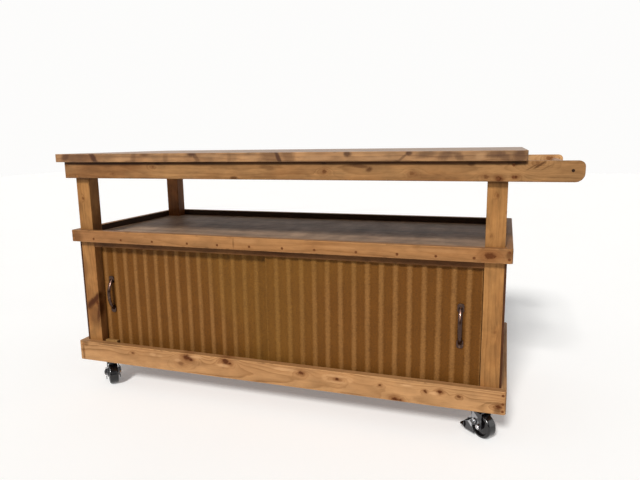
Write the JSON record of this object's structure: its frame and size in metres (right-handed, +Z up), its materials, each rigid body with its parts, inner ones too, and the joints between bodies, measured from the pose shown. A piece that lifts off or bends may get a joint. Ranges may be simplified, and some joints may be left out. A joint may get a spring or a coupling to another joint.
{
  "type": "cheese trolley",
  "caption": "Timber serving trolley with a plank top, a recessed tray shelf, a cabinet closed by corrugated sliding doors, a push bar at one end and braked swivel casters.",
  "frame": {"origin": "on the floor, under the middle of the whole object's footprint; the frame's own middle lies 70.9 mm towards -X, because the rails run on past the frame at the +X end", "axes": "+Z up, +X along the trolley towards the push bar, -Y towards the side with the sliding doors"},
  "size_m": [1.6896, 0.6844, 0.857],
  "materials": {
    "plank_wood": "satin",
    "rail_wood": "satin",
    "post_wood": "satin",
    "tray_wood": "satin",
    "base_wood": "satin",
    "bar_wood": "satin",
    "deck_wood": "satin",
    "panel_wood": "satin",
    "track_wood": "satin",
    "door_board_wood": "matte",
    "corrugated_sheet": "matte",
    "pull_bronze": "gloss",
    "screw_steel": "satin",
    "bolt_steel": "satin",
    "caster_steel": "gloss",
    "brake_steel": "gloss",
    "wheel_rubber": "gloss"
  },
  "bodies": {
    "frame": {"back_panel": "panel_wood", "base_board_front": "base_wood", "base_board_left": "base_wood", "base_board_rear": "base_wood", "base_board_right": "base_wood", "cabinet_floor": "panel_wood", "caster_plate_fl": "caster_steel", "caster_plate_fr": "caster_steel", "caster_plate_rl": "caster_steel", "caster_plate_rr": "caster_steel", "caster_screws": "bolt_steel", "door_stop": "track_wood", "door_track_lower": "track_wood", "door_track_upper": "track_wood", "end_panel_left": "panel_wood", "end_panel_right": "panel_wood", "post_front_left": "post_wood", "post_front_right": "post_wood", "post_rear_left": "post_wood", "post_rear_right": "post_wood", "push_bar": "bar_wood", "shelf_deck": "deck_wood", "top_plank_1": "plank_wood", "top_plank_2": "plank_wood", "top_plank_3": "plank_wood", "top_plank_4": "plank_wood", "top_plank_5": "plank_wood", "top_rail_front": "rail_wood", "top_rail_left": "rail_wood", "top_rail_rear": "rail_wood", "top_rail_right": "rail_wood", "tray_board_front": "tray_wood", "tray_board_left": "tray_wood", "tray_board_rear": "tray_wood", "tray_board_right": "tray_wood", "wood_screws": "screw_steel"},
    "door_left": {"door_board_left": "door_board_wood", "door_sheet_left": "corrugated_sheet", "door_pull_left": "pull_bronze", "door_pull_screws_left": "screw_steel"},
    "door_right": {"door_board_right": "door_board_wood", "door_sheet_right": "corrugated_sheet", "door_pull_right": "pull_bronze", "door_pull_screws_right": "screw_steel"},
    "caster_fl_swivel": {"caster_fork_fl": "caster_steel", "caster_axle_fl": "bolt_steel"},
    "caster_fl_wheel": {"caster_wheel_fl": "wheel_rubber"},
    "caster_fl_brake": {"caster_brake_fl": "brake_steel"},
    "caster_fr_swivel": {"caster_fork_fr": "caster_steel", "caster_axle_fr": "bolt_steel"},
    "caster_fr_wheel": {"caster_wheel_fr": "wheel_rubber"},
    "caster_fr_brake": {"caster_brake_fr": "brake_steel"},
    "caster_rl_swivel": {"caster_fork_rl": "caster_steel", "caster_axle_rl": "bolt_steel"},
    "caster_rl_wheel": {"caster_wheel_rl": "wheel_rubber"},
    "caster_rl_brake": {"caster_brake_rl": "brake_steel"},
    "caster_rr_swivel": {"caster_fork_rr": "caster_steel", "caster_axle_rr": "bolt_steel"},
    "caster_rr_wheel": {"caster_wheel_rr": "wheel_rubber"},
    "caster_rr_brake": {"caster_brake_rr": "brake_steel"}
  },
  "joints": [
    {"name": "left_door_slide", "type": "slide", "parent": "frame", "child": "door_left", "axis": [1, 0, 0], "range_m": [0, 0.61]},
    {"name": "right_door_slide", "type": "slide", "parent": "frame", "child": "door_right", "axis": [1, 0, 0], "range_m": [-0.61, 0]},
    {"name": "caster_fl_swivel_turn", "type": "hinge", "parent": "frame", "child": "caster_fl_swivel", "pos_m": [-0.7409, -0.264, 0.0865], "axis": [0, 0, 1], "continuous": true},
    {"name": "caster_fl_wheel_spin", "type": "hinge", "parent": "caster_fl_swivel", "child": "caster_fl_wheel", "pos_m": [-0.72453, -0.28155, 0.0375], "axis": [-0.7314, -0.682, 0], "continuous": true},
    {"name": "caster_fl_brake_press", "type": "hinge", "parent": "caster_fl_swivel", "child": "caster_fl_brake", "pos_m": [-0.73544, -0.26985, 0.05], "axis": [-0.7314, -0.682, 0], "range_deg": [0, 10]},
    {"name": "caster_fr_swivel_turn", "type": "hinge", "parent": "frame", "child": "caster_fr_swivel", "pos_m": [0.5991, -0.264, 0.0865], "axis": [0, 0, 1], "continuous": true},
    {"name": "caster_fr_wheel_spin", "type": "hinge", "parent": "caster_fr_swivel", "child": "caster_fr_wheel", "pos_m": [0.61721, -0.27975, 0.0375], "axis": [-0.6561, -0.7547, 0], "continuous": true},
    {"name": "caster_fr_brake_press", "type": "hinge", "parent": "caster_fr_swivel", "child": "caster_fr_brake", "pos_m": [0.60514, -0.26925, 0.05], "axis": [-0.6561, -0.7547, 0], "range_deg": [0, 10]},
    {"name": "caster_rl_swivel_turn", "type": "hinge", "parent": "frame", "child": "caster_rl_swivel", "pos_m": [-0.7409, 0.264, 0.0865], "axis": [0, 0, 1], "continuous": true},
    {"name": "caster_rl_wheel_spin", "type": "hinge", "parent": "caster_rl_swivel", "child": "caster_rl_wheel", "pos_m": [-0.72515, 0.24589, 0.0375], "axis": [-0.7547, -0.6561, 0], "continuous": true},
    {"name": "caster_rl_brake_press", "type": "hinge", "parent": "caster_rl_swivel", "child": "caster_rl_brake", "pos_m": [-0.73565, 0.25796, 0.05], "axis": [-0.7547, -0.6561, 0], "range_deg": [0, 10]},
    {"name": "caster_rr_swivel_turn", "type": "hinge", "parent": "frame", "child": "caster_rr_swivel", "pos_m": [0.5991, 0.264, 0.0865], "axis": [0, 0, 1], "continuous": true},
    {"name": "caster_rr_wheel_spin", "type": "hinge", "parent": "caster_rr_swivel", "child": "caster_rr_wheel", "pos_m": [0.61748, 0.24857, 0.0375], "axis": [-0.6428, -0.766, 0], "continuous": true},
    {"name": "caster_rr_brake_press", "type": "hinge", "parent": "caster_rr_swivel", "child": "caster_rr_brake", "pos_m": [0.60523, 0.25886, 0.05], "axis": [-0.6428, -0.766, 0], "range_deg": [0, 10]}
  ]
}
